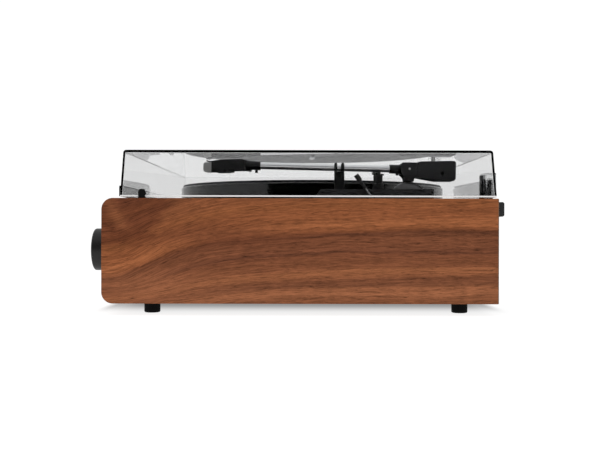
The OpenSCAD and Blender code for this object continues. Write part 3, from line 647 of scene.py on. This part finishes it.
def cover_rim(cover):
    """The sawn lower edge, painted white: a painted highlight for the light that the real edge gathers from the
    clear walls.
    """
    bm = bmesh.new()
    rings = []
    for z in (cover.z0, cover.z0 + cover.rim):
        for inset, corner in ((0.0, cover.corner), (cover.wall, cover.corner / 2)):
            loop = rounded(*cover.sides(z, inset), corner, z)
            rings.append([bm.verts.new(point * MM) for point in loop])
    for first, second in ((0, 1), (1, 3), (3, 2), (2, 0)):
        close_between(bm, rings[first], rings[second])
    clear_piece("cover_rim", bm, finishes["painted_bright_edge"])


def cover_lip(cover):
    """Lip along the front wall for the fingers."""
    front = corners("dust_cover")[0].y / MM
    bm = bmesh.new()
    side_gap, edge, corner = 2.5, 0.4, 0.3
    half = cover.bottom[1].x - side_gap
    bottom, top = cover.z0 + 0.2, cover.z0 + 9.8
    stack = []
    for z, pull in ((bottom, edge), (bottom + edge, 0.0), (top - edge, 0.0), (top, edge)):
        wall = cover.sides(z)[0].y - GAP
        stack.append(rounded(Vector((-half + pull, front + pull)), Vector((half - pull, wall)), corner, z, 2))
    rings = skin(bm, stack)
    bm.faces.new(rings[0])
    clear_piece("cover_lip", bm)


def cover_sockets(cover):
    """Two sockets on the back wall that the hinge arms slide into."""
    back = corners("dust_cover")[1].y / MM
    z_low, z_high, z_pocket = cover.z0 + 1.2, cover.z0 + 24, cover.z0 + 22
    half, pocket_half = 12, 9.2
    edge, pocket_corner = 0.6, 0.4
    pocket_depths = 7, 1.7
    for side, hinge_x in (("left", -HINGE_X), ("right", HINGE_X)):
        bm = bmesh.new()
        outer = []
        for z, pull in ((z_low, 0.0), (z_high - edge, 0.0), (z_high, edge)):
            wall = cover.sides(z)[1].y + GAP
            low = Vector((hinge_x - half + pull, wall))
            high = Vector((hinge_x + half - pull, back - pull))
            outer.append(rounded(low, high, edge, z, 3))
        pocket = [Vector((hinge_x + reach, back - depth))
                  for reach, depth in zip((-pocket_half, pocket_half), pocket_depths)]
        inner = [rounded(*pocket, pocket_corner, z, 3) for z in (z_low, z_pocket)]
        close_between(bm, skin(bm, outer)[0], skin(bm, inner)[0])
        clear_piece(f"cover_socket_{side}", bm)


dust_cover = Cover()
cover_shell(dust_cover)
cover_rim(dust_cover)
cover_lip(dust_cover)
cover_sockets(dust_cover)


# ------------------------------------------------------------------ small pieces

def sleeve_lever():
    """The lift lever again, with its soft black sleeve above the bare wire."""
    lever = bevelled("cue_lever", 0.25)
    dress(lever, finishes["lever_metal"])
    lever.data.materials.append(finishes["arm_plastic"])
    low, high = corners("cue_lever")
    bare_share = 0.40
    start = low.z + (high.z - low.z) * bare_share
    for face in lever.data.polygons:
        face.material_index = int(face.center.z > start)


def marked_knob():
    """The volume knob again, with white paint in its pointer groove."""
    knob = bevelled("volume_knob", 0.25)
    knob.data.materials.append(finishes["white_plastic"])
    low, high = corners("volume_knob")
    hub = middle("volume_knob")
    round_edge = 1.8 * MM
    groove = 0.1 * MM, 0.7 * MM
    reach = (high.x - low.x) / 2 - round_edge
    for face in knob.data.polygons:
        depth = face.center.y - low.y
        inside = math.hypot(face.center.x - hub.x, face.center.z - hub.z) < reach
        face.material_index = int(inside and groove[0] < depth < groove[1])


def lathe(bm, profile, centre, segments):
    """Turns a closed outline of (radius, height) in millimetres round a vertical axis."""
    rings = []
    for radius, height in profile:
        ring = []
        for i in range(segments):
            angle = 2 * math.pi * i / segments
            ring.append(bm.verts.new(Vector((centre.x / MM + radius * math.cos(angle),
                                             centre.y / MM + radius * math.sin(angle), height)) * MM))
        rings.append(ring)
    for first, second in zip(rings, rings[1:] + rings[:1]):
        close_between(bm, first, second)
    bmesh.ops.recalc_face_normals(bm, faces=bm.faces)


def ribbed_mat():
    """Slipmat with fine moulded ribs round a smooth label area."""
    low, high = corners("slipmat")
    bottom, top = low.z / MM, high.z / MM
    radius = (high.x - low.x) / 2 / MM
    label, hole, step, depth, edge = 52.0, 4.2, 2.0, 0.35, 0.5
    label_top = top - 0.7
    outline = [(hole, bottom), (hole, label_top), (label - 0.4, label_top), (label, top - 0.3), (label, top)]
    ribs_in_band = 12
    for i in range(int((radius - label - step) / step)):
        if (i + 1) % ribs_in_band == 0:
            continue
        start = label + 0.9 + i * step
        outline += [(start, top), (start + 0.3, top - depth), (start + 0.8, top - depth), (start + 1.1, top)]
    outline += [(radius - edge, top), (radius, top - edge), (radius, bottom)]
    bm = bmesh.new()
    lathe(bm, outline, platter_axis, segments=160)
    mat = add_piece("ribbed_slipmat", bm, NODES["slipmat"]["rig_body"], "mat_rubber", angle=25)
    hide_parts("slipmat")


sleeve_lever()
marked_knob()
ribbed_mat()
for node_name, cad in NODES.items():
    if not cad.hide_render:
        dress(cad, finish_of(node_name))


# ------------------------------------------------------------------ floor, light, camera

def plane(name, centre, half_x, half_y, facing=Vector((0, 0, 1))):
    """A flat piece of the studio. Upright ones have half_x level and half_y up."""
    bm = bmesh.new()
    turn = facing.to_track_quat("Z", "Y").to_matrix().to_4x4()
    bmesh.ops.create_grid(bm, x_segments=1, y_segments=1, size=1,
                          matrix=Matrix.Translation(centre) @ turn @ Matrix.Diagonal((half_x, half_y, 1, 1)))
    mesh = bpy.data.meshes.new(name)
    bm.to_mesh(mesh)
    bm.free()
    obj = bpy.data.objects.new(name, mesh)
    bpy.context.scene.collection.objects.link(obj)
    return obj


def floor():
    """White sweep that glows as bright as the backdrop, with a painted shadow: its glow dims softly under the
    plinth.
    """
    obj = plane("floor", Vector((0, 0, 0)), 6, 6)
    m = Material("pale_floor")
    # How far under the plinth a point lies, in from its sides and in from its front and back.
    under_x = side_high.x / MM - m.x.size()
    under_y = plinth_y1 - m.y.size()
    # Painted shadow: the glow is turned down under the plinth, to the shaded strength at the deepest, on top of
    # the real shade that the floor's grey part gets there.
    outside_painted_shadow = 1.0 - under_x.step(22, 112) * under_y.step(-20, -7)
    shaded, gain = 0.30, 0.56
    m.feed(m.shader.inputs["Emission Strength"], outside_painted_shadow * gain + shaded)
    m.finish((0.22, 0.22, 0.22, 1), 0.9, Specular_IOR_Level=0.0, Emission_Color=(1, 1, 1, 1))
    dress(obj, m.data)


def glow(name, strength):
    """Material of a studio card: even light of one strength, 0 for a black card."""
    data = bpy.data.materials.new(name)
    data.use_nodes = True
    shader = data.node_tree.nodes["Principled BSDF"]
    shader.inputs["Base Color"].default_value = (0, 0, 0, 1)
    shader.inputs["Specular IOR Level"].default_value = 0
    shader.inputs["Emission Color"].default_value = (1, 1, 1, 1)
    shader.inputs["Emission Strength"].default_value = strength
    return data


def card(name, centre, half_x, half_y, facing, strength):
    """A card that shows in reflections and through clear plastic only."""
    obj = plane(name, centre, half_x, half_y, facing)
    dress(obj, glow(name, strength))
    obj.visible_camera = False
    obj.visible_diffuse = False
    obj.visible_shadow = False
    return obj


def world(sky, light):
    """White behind everything for the camera, and a little less of it as light."""
    data = bpy.data.worlds.new("studio")
    data.use_nodes = True
    tree = data.node_tree
    background = tree.nodes["Background"]
    path = tree.nodes.new("ShaderNodeLightPath")
    spread = tree.nodes.new("ShaderNodeMapRange")
    tree.links.new(path.outputs["Is Camera Ray"], spread.inputs["Value"])
    spread.inputs["To Min"].default_value = light
    spread.inputs["To Max"].default_value = sky
    tree.links.new(spread.outputs[0], background.inputs["Strength"])
    background.inputs["Color"].default_value = (1, 1, 1, 1)
    bpy.context.scene.world = data


def soft_light(name, place, target, size, power):
    """A square lamp that reflections and clear plastic don't show."""
    lamp = bpy.data.lights.new(name, "AREA")
    lamp.shape = "SQUARE"
    lamp.size = size
    lamp.energy = power
    obj = bpy.data.objects.new(name, lamp)
    obj.location = place
    obj.rotation_euler = (Vector(target) - Vector(place)).to_track_quat("-Z", "Y").to_euler()
    obj.visible_glossy = False
    obj.visible_transmission = False
    bpy.context.scene.collection.objects.link(obj)


def camera():
    """Looks at the right-hand side from just below the closed cover's height, a hair off level."""
    data = bpy.data.cameras.new("camera")
    data.sensor_width = 36
    data.lens = 50.58
    data.shift_x = -0.0037
    data.shift_y = 0.0037
    data.clip_start = 0.01
    data.clip_end = 50
    obj = bpy.data.objects.new("camera", data)
    obj.location = (0.943, 0.0018, 0.078)
    obj.rotation_euler = (math.radians(90), math.radians(-0.12), math.radians(90))
    bpy.context.scene.collection.objects.link(obj)
    bpy.context.scene.camera = obj


floor()
world(sky=1.05, light=0.9)
soft_light("top_light", (0.25, -0.35, 1.5), (0, 0, 0.1), 1.6, 9)
card("black_card", Vector((1.5, 0.83, 0.6)), 1.95, 0.65, Vector((-1, 0, 0)), 0.0)
camera()

scene = bpy.context.scene
scene.view_settings.view_transform = "Standard"
scene.cycles.use_denoising = True
scene.cycles.max_bounces = 24
scene.cycles.transmission_bounces = 20
scene.cycles.glossy_bounces = 8
